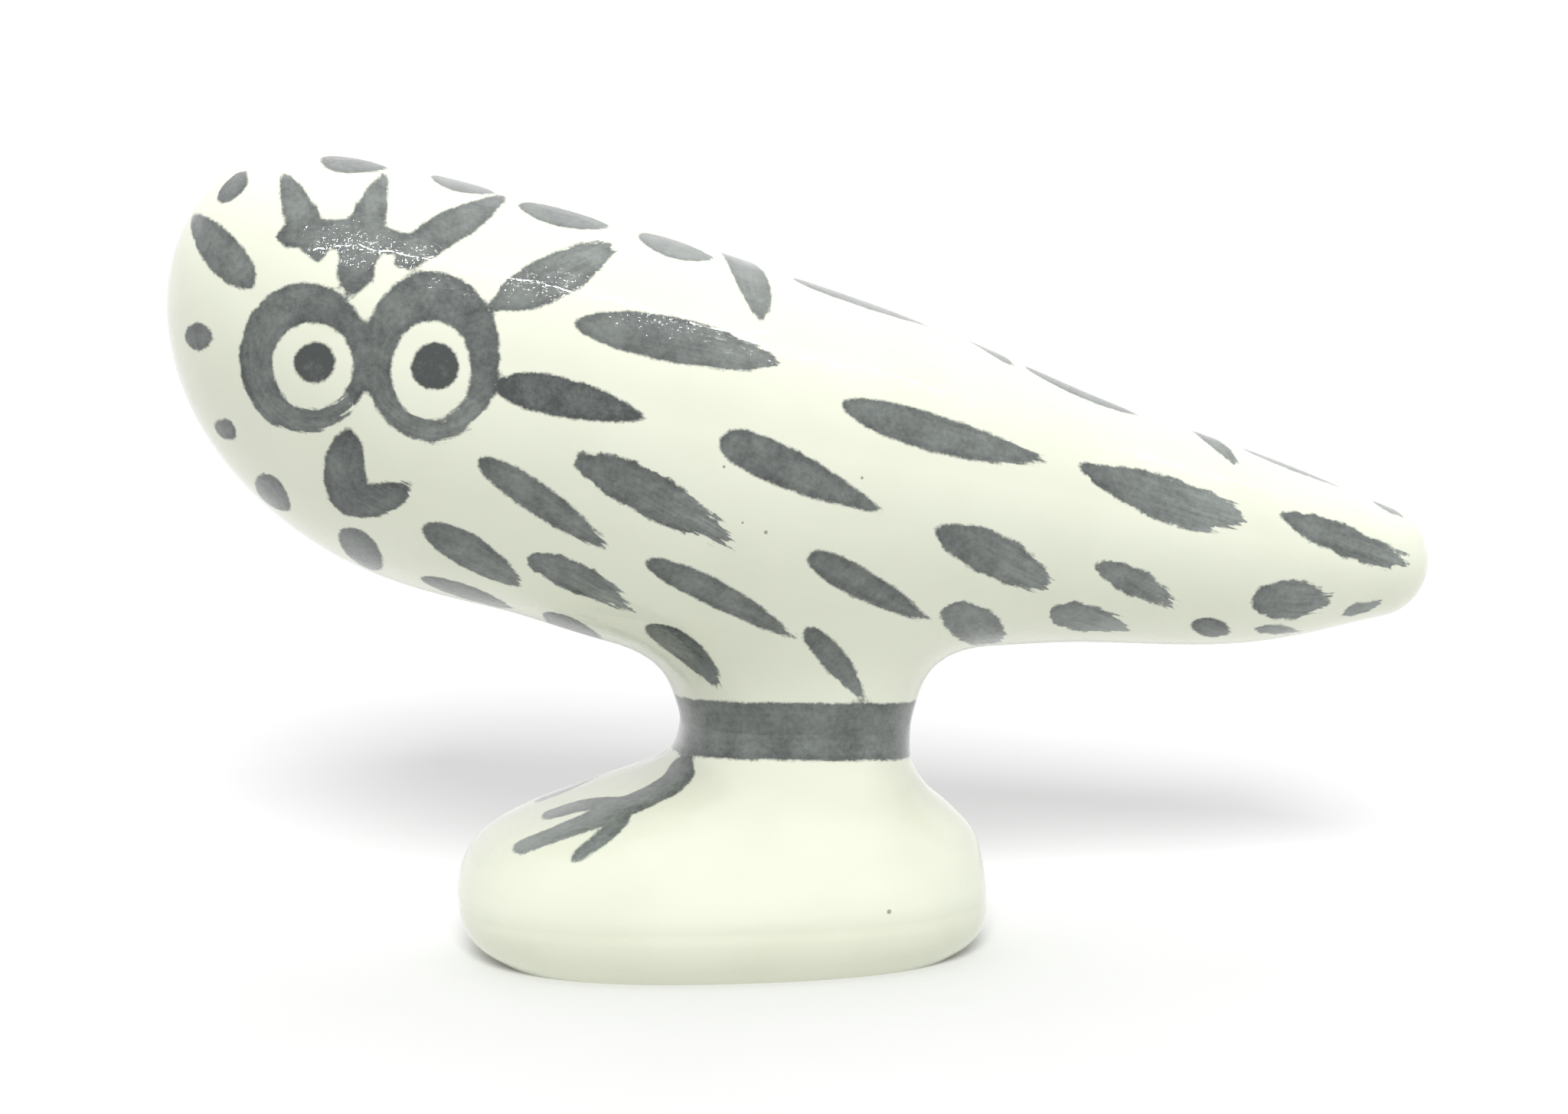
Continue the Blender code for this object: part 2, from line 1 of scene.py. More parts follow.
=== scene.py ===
"""Looks of the hand-painted ceramic owl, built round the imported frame.

The fired owl is one continuous glazed surface, so its skin is meshed finely here from the same
middle line and foot sections as the castings, and cut into body, foot and slab where the castings
meet. The brushwork lies under the glaze: each painted node of the frame gives its place, length and
width to a stroke, which is stored on the skin as distances that the glaze material turns into paint.
Lengths are millimetres until a piece is made, and metres in the scene.
"""

from math import cos, pi, radians, sin

import bmesh
import bpy
import numpy as np
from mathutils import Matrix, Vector
from mathutils.bvhtree import BVHTree


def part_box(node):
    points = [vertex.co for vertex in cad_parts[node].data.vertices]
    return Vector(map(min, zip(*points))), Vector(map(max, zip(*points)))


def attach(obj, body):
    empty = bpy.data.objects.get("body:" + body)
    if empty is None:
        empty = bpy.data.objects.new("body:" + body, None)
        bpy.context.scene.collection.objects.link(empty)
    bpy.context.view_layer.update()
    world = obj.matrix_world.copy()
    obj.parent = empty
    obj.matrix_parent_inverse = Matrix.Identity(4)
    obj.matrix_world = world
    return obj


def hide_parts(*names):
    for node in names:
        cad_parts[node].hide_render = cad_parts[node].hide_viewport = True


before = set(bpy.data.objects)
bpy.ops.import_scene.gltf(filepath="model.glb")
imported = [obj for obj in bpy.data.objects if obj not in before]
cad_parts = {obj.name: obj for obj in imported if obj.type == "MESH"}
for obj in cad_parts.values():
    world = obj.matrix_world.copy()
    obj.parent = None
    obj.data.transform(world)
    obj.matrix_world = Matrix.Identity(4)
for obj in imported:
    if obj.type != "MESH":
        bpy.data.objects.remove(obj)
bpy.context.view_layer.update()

MM = 0.001
ROOT = "root"

# Surface of the owl, as in the castings. A spine station is x, z and radius. A foot station is z, the x
# of its front and back, and half its depth.
BODY_DEPTH = 0.96
ANKLE_BLEND = 8.0
FOOT_ROUNDNESS = 2.4
SPINE = (
    (-40.5, 66.4, 3.0),
    (-34.5, 57.4, 13.0),
    (-26.0, 51.4, 17.0),
    (-13.0, 47.4, 17.5),
    (0.5, 43.2, 17.2),
    (14.5, 40.9, 14.5),
    (30.0, 37.9, 11.0),
    (45.5, 34.9, 8.5),
    (58.0, 33.4, 5.0),
)
FOOT = (
    (-3.0, -14.0, 15.0, 9.0),
    (0.0, -19.5, 20.5, 12.6),
    (2.0, -22.2, 22.8, 14.4),
    (4.7, -23.2, 23.3, 15.0),
    (8.0, -22.8, 22.9, 14.8),
    (10.5, -21.3, 22.1, 14.0),
    (12.5, -18.0, 20.3, 12.8),
    (14.5, -12.5, 18.1, 11.4),
    (17.0, -5.4, 16.6, 10.2),
    (20.0, -3.5, 16.4, 9.8),
    (24.0, -3.1, 16.2, 9.8),
    (32.0, -1.0, 14.0, 8.0),
)

# Rough owl: its balls and ovals are every few points of the smooth lines
BALL_SPACING = 2
BALL_DETAIL = 4
OVAL_SPACING = 3
ROUGH_SEGMENTS = 64

# Fine skin, the cuts between its pieces and the vent in the slab
SKIN_CELL = 0.5
RELAX_ROUNDS = 4
LEAST_SLOPE = 0.2
SEAM_DEPTH = 0.12
SEAM_WIDTH = 0.4
CUT_MERGE = 1e-4
LEVEL_TOUCH = 0.01
VENT_RADIUS = 2.0
VENT_X = 8.0
VENT_STEPS = 32

# Brushwork: how the deposits stand off the skin in the frame, how far round a mark its distance is
# measured, the distance stored beyond that, and the distance that counts as on the outline
PAINT_GAP = 0.3
PAINT_THICK = 0.3
PAINT_REACH = 1.5
UNPAINTED = 6.0
RIM_TOUCH = 0.01

# How much wider than its node a mark is brushed, at each of GROWTH_SHARES along its length. Marks that
# the frame keeps apart run into each other here. A numbered mark with no line of its own, here and in
# LOADS, takes the line of its kind.
GROWTH_SHARES = (0.0, 0.25, 1.0)
GROWTH = {
    "flank_feather": (0.05, 0.1, 0.12),
    "flank_feather_07": (0.15, 0.25, 0.4),
    "head_feather": (0.05, 0.05, -0.1),
    "back_feather": (0.1, 0.1, 0.0),
    "back_feather_05": (0.1, -0.1, -0.8),
    "eye_rings": (0.12, 0.12, 0.12),
    "left_pupil": (0.0, 0.0, 0.0),
    "right_pupil": (0.0, 0.0, 0.0),
    "crown_mark": (0.35, 0.1, 0.1),
    "beak_mark": (0.1, 0.1, 0.1),
    "ankle_band": (0.2, 0.2, 0.2),
    "left_leg_mark": (0.6, -0.05, -0.05),
    "right_leg_mark": (0.6, -0.05, -0.05),
}

# Tone from 0 thin to 1 dark, how much of it is lost towards the tail, and dryness from 0 wet to 1 dry
LOADS = {
    "flank_feather": (0.6, 0.1, 0.3),
    "head_feather": (0.55, 0.0, 0.15),
    "back_feather": (0.4, 0.1, 0.25),
    "eye_rings": (0.7, 0.1, 0.4),
    "left_pupil": (0.95, 0.0, 0.0),
    "right_pupil": (0.95, 0.0, 0.0),
    "crown_mark": (0.6, 0.1, 0.25),
    "beak_mark": (0.7, 0.0, 0.3),
    "ankle_band": (0.6, 0.0, 0.1),
    "left_leg_mark": (0.65, 0.65, 0.1),
    "right_leg_mark": (0.65, 0.65, 0.1),
    "flank_feather_01": (0.55, 0.1, 0.55),
    "flank_feather_03": (0.8, 0.0, 0.1),
    "flank_feather_05": (0.65, 0.1, 0.1),
    "flank_feather_06": (0.75, 0.2, 0.95),
    "flank_feather_09": (0.5, 0.1, 0.9),
    "flank_feather_12": (0.6, 0.2, 0.6),
    "flank_feather_13": (0.6, 0.3, 0.7),
    "flank_feather_14": (0.45, 0.2, 0.9),
    "flank_feather_15": (0.5, 0.0, 0.7),
    "flank_feather_16": (0.45, 0.1, 0.8),
    "flank_feather_21": (0.4, 0.1, 0.6),
    "flank_feather_22": (0.4, 0.1, 0.9),
    "flank_feather_24": (0.15, 0.0, 0.8),
    "flank_feather_25": (0.15, 0.0, 0.8),
    "back_feather_04": (0.2, 0.0, 0.25),
    "back_feather_10": (0.1, 0.0, 0.6),
    "back_feather_11": (0.0, 0.0, 0.6),
}


# ---------------------------------------------------------------- surface

def smooth_line(stations, steps=12):
    """Points of a smooth curve through the stations, which may have any number of columns."""
    knots = np.array(stations)
    ends = 2 * knots[0] - knots[1], 2 * knots[-1] - knots[-2]
    padded = np.vstack([ends[0], knots, ends[1]])
    share = np.linspace(0, 1, steps, endpoint=False)[:, None]
    pieces = []
    for before, start, stop, after in zip(padded, padded[1:], padded[2:], padded[3:]):
        pieces.append(
            start
            + 0.5 * share * (stop - before)
            + 0.5 * share**2 * (2 * before - 5 * start + 4 * stop - after)
            + 0.5 * share**3 * (3 * start - before - 3 * stop + after)
        )
    return np.vstack(pieces + [knots[-1:]])


SPINE_LINE = smooth_line(SPINE)
FOOT_LINE = smooth_line(FOOT)


def body_distance(points):
    """Distance to the body's skin: the nearest of the balls strung along the spine."""
    flat = points / (1.0, BODY_DEPTH, 1.0)
    nearest = np.full(len(points), np.inf)
    for x, z, radius in SPINE_LINE:
        square = (flat[:, 0] - x) ** 2 + flat[:, 1] ** 2 + (flat[:, 2] - z) ** 2
        nearest = np.minimum(nearest, np.sqrt(square) - radius)
    return nearest


def foot_distance(points):
    """Sideways distance to the foot, whose level sections are rounded ovals."""
    levels, fronts, backs, depths = FOOT_LINE.T
    front = np.interp(points[:, 2], levels, fronts)
    back = np.interp(points[:, 2], levels, backs)
    depth = np.interp(points[:, 2], levels, depths)
    length = (back - front) / 2
    along = np.abs(points[:, 0] - (front + back) / 2) / length
    across = np.abs(points[:, 1]) / depth
    share = (along**FOOT_ROUNDNESS + across**FOOT_ROUNDNESS) ** (1 / FOOT_ROUNDNESS)
    return (share - 1) * np.minimum(length, depth)


def owl_distance(points):
    """Body and foot flowing into each other at the ankle, closed off above and below the foot."""
    body = body_distance(points)
    foot = np.maximum(foot_distance(points), points[:, 2] - FOOT[-1][0])
    foot = np.maximum(foot, FOOT[0][0] - points[:, 2])
    share = np.clip(0.5 + 0.5 * (foot - body) / ANKLE_BLEND, 0, 1)
    return foot + share * (body - foot) - ANKLE_BLEND * share * (1 - share)


def slope(points, step=0.05):
    """Gradient of the distance by central differences."""
    columns = []
    for axis in np.eye(3):
        rise = owl_distance(points + step * axis) - owl_distance(points - step * axis)
        columns.append(rise / (2 * step))
    return np.stack(columns, axis=1)


def settle(points, rounds=2):
    """Move points along the slope until they lie on the skin."""
    for _ in range(rounds):
        steep = slope(points)
        square = np.maximum((steep**2).sum(axis=1, keepdims=True), LEAST_SLOPE**2)
        points = points - owl_distance(points)[:, None] * steep / square
    return points


def outward(points):
    """Unit normals of the skin."""
    steep = slope(points)
    return steep / np.linalg.norm(steep, axis=1, keepdims=True)


# ---------------------------------------------------------------- fine skin

def rough_owl():
    """Balls along the spine and a stack of ovals for the foot, as one loose mesh."""
    rough = bmesh.new()
    for x, z, radius in SPINE_LINE[::BALL_SPACING]:
        ball = bmesh.ops.create_icosphere(rough, subdivisions=BALL_DETAIL, radius=radius)
        bmesh.ops.scale(rough, verts=ball["verts"], vec=(1.0, BODY_DEPTH, 1.0))
        bmesh.ops.translate(rough, verts=ball["verts"], vec=(x, 0.0, z))
    rings = []
    for z, front, back, depth in FOOT_LINE[::OVAL_SPACING]:
        disc = bmesh.ops.create_circle(rough, segments=ROUGH_SEGMENTS, radius=1.0)["verts"]
        bmesh.ops.scale(rough, verts=disc, vec=((back - front) / 2, depth, 1.0))
        bmesh.ops.translate(rough, verts=disc, vec=((front + back) / 2, 0.0, z))
        rings.append(disc)
    for low, high in zip(rings, rings[1:]):
        for corner in range(ROUGH_SEGMENTS):
            after = (corner + 1) % ROUGH_SEGMENTS
            rough.faces.new((low[corner], low[after], high[after], high[corner]))
    rough.faces.new(list(reversed(rings[0])))
    rough.faces.new(rings[-1])
    mesh = bpy.data.meshes.new("rough_owl")
    rough.to_mesh(mesh)
    rough.free()
    return mesh


def read_points(mesh):
    flat = np.empty(len(mesh.vertices) * 3, dtype=np.float32)
    mesh.vertices.foreach_get("co", flat)
    return flat.reshape(-1, 3).astype(float)


def write_points(mesh, points):
    mesh.vertices.foreach_set("co", points.astype(np.float32).ravel())
    mesh.update()


def neighbour_mean(points, edges):
    """Mean of each point's neighbours along the edges."""
    total = np.zeros_like(points)
    np.add.at(total, edges[:, 0], points[edges[:, 1]])
    np.add.at(total, edges[:, 1], points[edges[:, 0]])
    count = np.bincount(edges.ravel(), minlength=len(points))
    return total / count[:, None]


def fine_skin():
    """Evenly meshed skin: the rough owl remeshed, smoothed and settled on the true surface."""
    guide = bpy.data.objects.new("guide", rough_owl())
    bpy.context.collection.objects.link(guide)
    remesh = guide.modifiers.new("Remesh", "REMESH")
    remesh.mode = "VOXEL"
    remesh.voxel_size = SKIN_CELL
    remeshed = guide.evaluated_get(bpy.context.evaluated_depsgraph_get())
    skin = bpy.data.meshes.new_from_object(remeshed)
    bpy.data.objects.remove(guide, do_unlink=True)
    edges = np.array([tuple(edge.vertices) for edge in skin.edges])
    points = read_points(skin)
    for _ in range(RELAX_ROUNDS):
        points = settle(0.5 * points + 0.5 * neighbour_mean(points, edges), rounds=1)
    write_points(skin, settle(points))
    return skin


def seam_groove(points, level):
    """Soft line in the glaze where two castings were joined."""
    depth = SEAM_DEPTH * np.exp(-(((points[:, 2] - level) / SEAM_WIDTH) ** 2))
    return points - depth[:, None] * outward(points)


def store(mesh, name, values):
    """Keep one value or one vector per point, which later cuts interpolate."""
    if values.ndim == 1:
        mesh.attributes.new(name, "FLOAT", "POINT").data.foreach_set("value", values.astype(np.float32))
    else:
        layer = mesh.attributes.new(name, "FLOAT_VECTOR", "POINT")
        layer.data.foreach_set("vector", values.astype(np.float32).ravel())


# ---------------------------------------------------------------- brush strokes

def look_up(table, name):
    """Entry of a mark, or of its kind if it is one of a numbered kind."""
    return table[name] if name in table else table[name[:-3]]


class Mark:
    """One painted node of the frame, laid back on the skin: its outline and the way it was brushed."""

    def __init__(self, name):
        self.name = name
        self.tone, self.fading, self.dryness = look_up(LOADS, name)
        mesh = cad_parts[name].data
        points = read_points(mesh) / MM
        height = owl_distance(points) / np.linalg.norm(slope(points), axis=1)
        low = height < PAINT_GAP + PAINT_THICK / 2
        points[low] = settle(points[low], rounds=3)
        self.trace_outline([tuple(face.vertices) for face in mesh.polygons], points, low)
        self.low = points[low].min(axis=0) - PAINT_REACH
        self.high = points[low].max(axis=0) + PAINT_REACH
        self.centre = points[low].mean(axis=0)
        self.lay_axes(points[low])

    def trace_outline(self, faces, points, low):
        """Underside of the deposit, and its rim where the side faces stand on it."""
        underside = [face for face in faces if all(low[list(face)])]
        self.tree = BVHTree.FromPolygons(points.tolist(), underside)
        feet = [[index for index in face if low[index]] for face in faces]
        rim = np.array(sorted({tuple(sorted(pair)) for pair in feet if len(pair) == 2}))
        self.rim_start = points[rim[:, 0]]
        self.rim_step = points[rim[:, 1]] - self.rim_start

    def lay_axes(self, points):
        """Along the stroke towards the owl's tail, as the brush was drawn, and across it."""
        spread = points - self.centre
        _, _, axes = np.linalg.svd(spread, full_matrices=False)
        self.along, self.across = axes[0] * np.sign(axes[0][0]), axes[1]
        reach = spread @ self.along
        self.start, self.length = reach.min(), np.ptp(reach)

    def near(self, points):
        return np.flatnonzero(np.all((points > self.low) & (points < self.high), axis=1))

    def place(self, points):
        """Millimetres along and across the stroke, and the share of its length."""
        spread = points - self.centre
        along = spread @ self.along - self.start
        return np.column_stack([along, spread @ self.across, along / self.length])

    def to_rim(self, points):
        nearest = np.full(len(points), np.inf)
        for start, step in zip(self.rim_start, self.rim_step):
            spread = points - start
            share = np.clip(spread @ step / max(step @ step, 1e-9), 0, 1)
            nearest = np.minimum(nearest, ((spread - share[:, None] * step) ** 2).sum(axis=1))
        return np.sqrt(nearest)

    def edge(self, points):
        """Distance to the outline, negative inside it."""
        feet = np.array([self.tree.find_nearest(point)[0] for point in points.tolist()])
        to_rim = self.to_rim(feet)
        distance = np.where(to_rim > RIM_TOUCH, -to_rim, np.linalg.norm(points - feet, axis=1))
        share = self.place(points)[:, 2]
        return distance - np.interp(share, GROWTH_SHARES, look_up(GROWTH, self.name))


class Leg(Mark):
    """Strokes brushed down the foot from the ankle."""

    def lay_axes(self, points):
        super().lay_axes(points)
        if self.along[2] > 0:
            self.along = -self.along
            self.start = ((points - self.centre) @ self.along).min()


class Tufts(Mark):
    """Strokes brushed upwards from a common foot."""

    def lay_axes(self, points):
        self.along, self.across = np.array((0.0, 0.0, 1.0)), np.array((1.0, 0.0, 0.0))
        reach = points[:, 2] - self.centre[2]
        self.start, self.length = reach.min(), np.ptp(reach)


class Rings(Mark):
    """Strokes that run round a middle: the eye rings round their pupils, the band round the ankle."""

    def __init__(self, name, middles, start_turn, upright):
        self.middles = middles
        self.start_turn = start_turn
        self.upright = upright
        super().__init__(name)

    def lay_axes(self, points):
        self.frames = []
        for middle in self.middles:
            out = np.array((0.0, 0.0, 1.0)) if self.upright else outward(middle[None])[0]
            right = np.cross((0.0, 1.0, 0.0) if self.upright else (0.0, 0.0, 1.0), out)
            right /= np.linalg.norm(right)
            self.frames.append((middle, right, np.cross(out, right), out))

    def place(self, points):
        gaps = [np.linalg.norm(points - middle, axis=1) for middle in self.middles]
        nearest = np.argmin(gaps, axis=0)
        place = np.zeros((len(points), 3))
        for number, (middle, right, up, out) in enumerate(self.frames):
            chosen = nearest == number
            spread = points[chosen] - middle
            radius = np.hypot(spread @ right, spread @ up)
            turn = np.mod(np.arctan2(spread @ up, spread @ right) - self.start_turn, 2 * pi)
            across = spread @ out if self.upright else radius
            place[chosen] = np.column_stack([turn * radius.mean(), across, turn / (2 * pi)])
        return place


def names_with(prefix):
    return sorted(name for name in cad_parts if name.startswith(prefix))


def node_middle(name):
    low, high = np.array(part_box(name)) / MM
    return (low + high) / 2


def all_marks():
    """Every mark, and whether the hidden right side wears a mirrored copy of it."""
    marks = [(Mark(name), True) for name in names_with("flank_feather") + names_with("head_feather")]
    marks += [(Mark(name), False) for name in names_with("back_feather")]
    pupils = [node_middle("left_pupil"), node_middle("right_pupil")]
    ankle = [node_middle("ankle_band")]
    single = [
        Rings("eye_rings", pupils, start_turn=radians(-40), upright=False),
        Rings("ankle_band", ankle, start_turn=0.0, upright=True),
        Tufts("crown_mark"),
        Leg("left_leg_mark"),
        Leg("right_leg_mark"),
        Mark("left_pupil"),
        Mark("right_pupil"),
        Mark("beak_mark"),
    ]
    return marks + [(mark, False) for mark in single]


def lay_paint(skin):
    """Store on every skin point its distance to the nearest mark, its place in it, and its load."""
    points = read_points(skin)
    distance_to = np.full(len(points), UNPAINTED)
    place = np.zeros((len(points), 3))
    load = np.zeros((len(points), 3))
    for number, (mark, mirrored) in enumerate(all_marks()):
        for side in (1.0, -1.0) if mirrored else (1.0,):
            seen = points * (1.0, side, 1.0)
            near = mark.near(seen)
            distance = mark.edge(seen[near])
            closer = distance < distance_to[near]
            chosen = near[closer]
            distance_to[chosen] = distance[closer]
            place[chosen] = mark.place(seen[chosen])
            load[chosen, 0] = mark.tone - mark.fading * np.clip(place[chosen, 2], 0, 1)
            load[chosen, 1:] = (mark.dryness, side * (number + 1))
    edges = np.array([tuple(edge.vertices) for edge in skin.edges])
    soft = neighbour_mean(distance_to[:, None], edges)[:, 0]
    store(skin, "paint_edge", (distance_to + soft) / 2)
    store(skin, "stroke_place", place)
    store(skin, "stroke_load", load)


# ---------------------------------------------------------------- materials

class Nodes:
    """Small helper that adds and links the shader nodes of a material or a world."""

    def __init__(self, owner):
        self.owner = owner
        owner.use_nodes = True
        self.tree = owner.node_tree
        self.shader = self.tree.nodes.get("Principled BSDF")

    def add(self, kind, **settings):
        made = self.tree.nodes.new(kind)
        for name, value in settings.items():
            setattr(made, name, value)
        return made

    def link(self, source, target):
        self.tree.links.new(source, target)

    def feed(self, socket, value):
        if isinstance(value, bpy.types.NodeSocket):
            self.link(value, socket)
        else:
            socket.default_value = value

    def shade(self, colour, settings):
        """Give the surface its colour and its fixed settings."""
        self.link(colour, self.shader.inputs["Base Color"])
        for name, value in settings.items():
            self.shader.inputs[name].default_value = value

    def math(self, operation, *values):
        made = self.add("ShaderNodeMath", operation=operation)
        for socket, value in zip(made.inputs, values):
            self.feed(socket, value)
        return made.outputs[0]

    def attribute(self, name):
        return self.add("ShaderNodeAttribute", attribute_name=name)

    def noise(self, place, scale, detail=2.0, roughness=0.5):
        made = self.add("ShaderNodeTexNoise")
        self.feed(made.inputs["Vector"], place)
        made.inputs["Scale"].default_value = scale
        made.inputs["Detail"].default_value = detail
        made.inputs["Roughness"].default_value = roughness
        return made.outputs["Fac"]

    def centred_noise(self, place, scale, detail=2.0, roughness=0.5):
        return self.math("SUBTRACT", self.noise(place, scale, detail, roughness), 0.5)

    def scaled(self, value, factor):
        return self.math("MULTIPLY", value, factor)

    def total(self, first, *others):
        for value in others:
            first = self.math("ADD", first, value)
        return first

    def split(self, vector):
        made = self.add("ShaderNodeSeparateXYZ")
        self.link(vector, made.inputs[0])
        return list(made.outputs)

    def join(self, *values):
        made = self.add("ShaderNodeCombineXYZ")
        for socket, value in zip(made.inputs, values):
            self.feed(socket, value)
        return made.outputs[0]

    def remap(self, value, low, high, to_low=0.0, to_high=1.0, smooth=True):
        made = self.add("ShaderNodeMapRange")
        made.interpolation_type = "SMOOTHSTEP" if smooth else "LINEAR"
        self.feed(made.inputs["Value"], value)
        self.feed(made.inputs["From Min"], low)
        self.feed(made.inputs["From Max"], high)
        self.feed(made.inputs["To Min"], to_low)
        self.feed(made.inputs["To Max"], to_high)
        return made.outputs["Result"]

    def mix(self, share, first, second):
        made = self.add("ShaderNodeMix", data_type="RGBA")
        self.feed(made.inputs["Factor"], share)
        self.feed(made.inputs["A"], first)
        self.feed(made.inputs["B"], second)
        return made.outputs["Result"]

    def bump(self, height, distance, normal=None):
        made = self.add("ShaderNodeBump")
        made.inputs["Strength"].default_value = 1.0
        made.inputs["Distance"].default_value = distance
        self.feed(made.inputs["Height"], height)
        if normal is not None:
            self.link(normal, made.inputs["Normal"])
        return made.outputs["Normal"]


def mm_place(nodes):
    """Object coordinates in millimetres."""
    coordinates = nodes.add("ShaderNodeTexCoord").outputs["Object"]
    scaled = nodes.add("ShaderNodeVectorMath", operation="SCALE")
    nodes.link(coordinates, scaled.inputs[0])
    scaled.inputs["Scale"].default_value = 1 / MM
    return scaled.outputs[0]


# Colours
GLAZE = (0.60, 0.62, 0.515, 1.0)
# Deeper glaze: where the glaze pools at random, and as painted shade below and along the seam
GLAZE_POOLED_AND_SHADED = (0.54, 0.56, 0.45, 1.0)
PAINT_THIN = (0.19, 0.211, 0.198, 1.0)
PAINT_FULL = (0.030, 0.036, 0.034, 1.0)
SPECK = (0.16, 0.15, 0.11, 1.0)
CLAY_DARK = (0.66, 0.60, 0.48, 1.0)
CLAY_LIGHT = (0.80, 0.75, 0.64, 1.0)
CLAY_RUBBED = (0.52, 0.48, 0.42, 1.0)
PAPER_DARK = (0.67, 0.674, 0.67, 1.0)
PAPER_LIGHT = (0.69, 0.694, 0.69, 1.0)
WHITE = (1.0, 1.0, 1.0, 1.0)

# Surfaces
GLOSS = {
    "Roughness": 0.5,
    "Specular IOR Level": 0.2,
    "Coat Weight": 1.0,
    "Coat Roughness": 0.01,
    "Coat IOR": 1.5,
}
MATT_CLAY = {"Roughness": 0.9}
MATT_PAPER = {"Roughness": 0.9, "Specular IOR Level": 0.1}

# Textures of glaze, clay and paper, in repeats per millimetre, and the heights they raise
POOLING = {"scale": 0.12, "detail": 3.0}
UNDULATION = {"scale": 0.22, "detail": 1.0}
PITS = {"scale": 2.6, "detail": 1.0}
SAND = {"scale": 5.0, "detail": 4.0, "roughness": 0.7}
RUBBING = {"scale": 0.2, "detail": 3.0}
TOOTH = {"scale": 0.02, "detail": 3.0}
UNDULATION_HEIGHT = 0.1
PIT_HEIGHT = 0.012
SAND_HEIGHT = 0.06

# Part of a texture's range over which it takes hold, and how far the second colour then wins
POOLING_RANGE = (0.35, 0.75)
PIT_RANGE = (0.5, 0.72)
RUBBING_RANGE = (0.5, 0.75)
MIDDLE_RANGE = (0.3, 0.7)
POOLED_SHARE = 0.35
# How far the painted shade below the seam and along its groove deepens the glaze
SEAM_SHADE_SHARE = 0.5
RUBBED_SHARE = 0.5
SPECK_SHARE = 0.8
SPECK_CORE = 0.6

# Brush textures. The streaks' own scale counts bristles.
WANDER = {"scale": 0.6, "detail": 3.0, "roughness": 0.6}
FRAY = {"scale": 3.2, "detail": 3.0, "roughness": 0.65}
GRAIN = {"scale": 2.2, "detail": 4.0, "roughness": 0.7}
WASH = {"scale": 0.45, "detail": 2.0}
STREAK = {"scale": 1.0, "detail": 3.0, "roughness": 0.6}
STREAKS_ALONG = 0.2
STREAKS_ACROSS = 2.4
STROKE_SHIFT = 7.3

# Outline of the paint: how far it strays in millimetres from a wet to a dry stroke, and how it parts
DRY_EDGE = (0.3, 1.0)
WET_WANDER = 0.45
DRY_WANDER = 1.5
FRAYING = 0.4
PARTING = 4.0
BARE_SHARE = 0.06
SOFT_EDGE = (-0.2, 0.12)
TAIL_SHARES = (0.5, 1.0)
DRAGGED_SHARES = (0.1, 0.8)

# Depth of the paint: how much each cause adds or takes, where 0 is thin and 1 is full
GRAIN_DEPTH = 0.9
WASH_DEPTH = 0.8
WET_STREAKS = 0.15
DRY_STREAKS = 1.7
TAIL_LOSS = 0.35
POOL_DEPTH = 0.14
POOLED_RIM = (-1.0, -0.2)

# Iron specks on the left side: x, z and radius
SPECKS = (
    (-1.9, 45.3, 0.16),
    (-0.3, 40.5, 0.13),
    (1.7, 39.6, 0.2),
    (10.0, 43.9, 0.16),
    (12.7, 6.1, 0.25),
)


def glaze_colour(nodes, place, seam):
    """Ivory glaze, deeper where it pools, with painted shade below the seam and in its groove, and iron
    specks on the left side.
    """
    parts = nodes.split(place)
    pooled = nodes.remap(nodes.noise(place, **POOLING), *POOLING_RANGE, 0.0, POOLED_SHARE)
    # Painted shade: the glaze is deepened below the seam, where the foot's side turns down towards the
    # floor
    shade_below_seam = nodes.remap(parts[2], seam - SEAM_WIDTH, seam, SEAM_SHADE_SHARE, 0.0)
    # Painted shade along the seam's groove, which also stands for glaze pooled in it
    gap = nodes.math("ABSOLUTE", nodes.math("SUBTRACT", parts[2], seam))
    seam_shade_and_pooling = nodes.remap(gap, 0.0, SEAM_WIDTH, SEAM_SHADE_SHARE, 0.0)
    colour = nodes.mix(nodes.total(pooled, shade_below_seam, seam_shade_and_pooling), GLAZE, GLAZE_POOLED_AND_SHADED)
    left = nodes.math("LESS_THAN", parts[1], 0.0)
    seen = nodes.join(parts[0], 0.0, parts[2])
    for x, z, radius in SPECKS:
        gap = nodes.add("ShaderNodeVectorMath", operation="DISTANCE")
        nodes.link(seen, gap.inputs[0])
        gap.inputs[1].default_value = (x, 0.0, z)
        spot = nodes.remap(gap.outputs["Value"], SPECK_CORE * radius, radius, SPECK_SHARE, 0.0)
        colour = nodes.mix(nodes.math("MULTIPLY", spot, left), colour, SPECK)
    return colour


def coverage(nodes, place, edge, streak, tail, dryness):
    """Where paint lies: inside the stored outline, which wanders, frays and parts at the tail."""
    loose = nodes.remap(dryness, *DRY_EDGE, WET_WANDER, DRY_WANDER, smooth=False)
    line = nodes.total(
        edge,
        nodes.math("MULTIPLY", nodes.centred_noise(place, **WANDER), loose),
        nodes.scaled(nodes.centred_noise(place, **FRAY), FRAYING),
        nodes.math("MULTIPLY", nodes.math("ADD", streak, BARE_SHARE), nodes.scaled(tail, PARTING)),
    )
    return nodes.remap(line, *SOFT_EDGE, 1.0, 0.0)


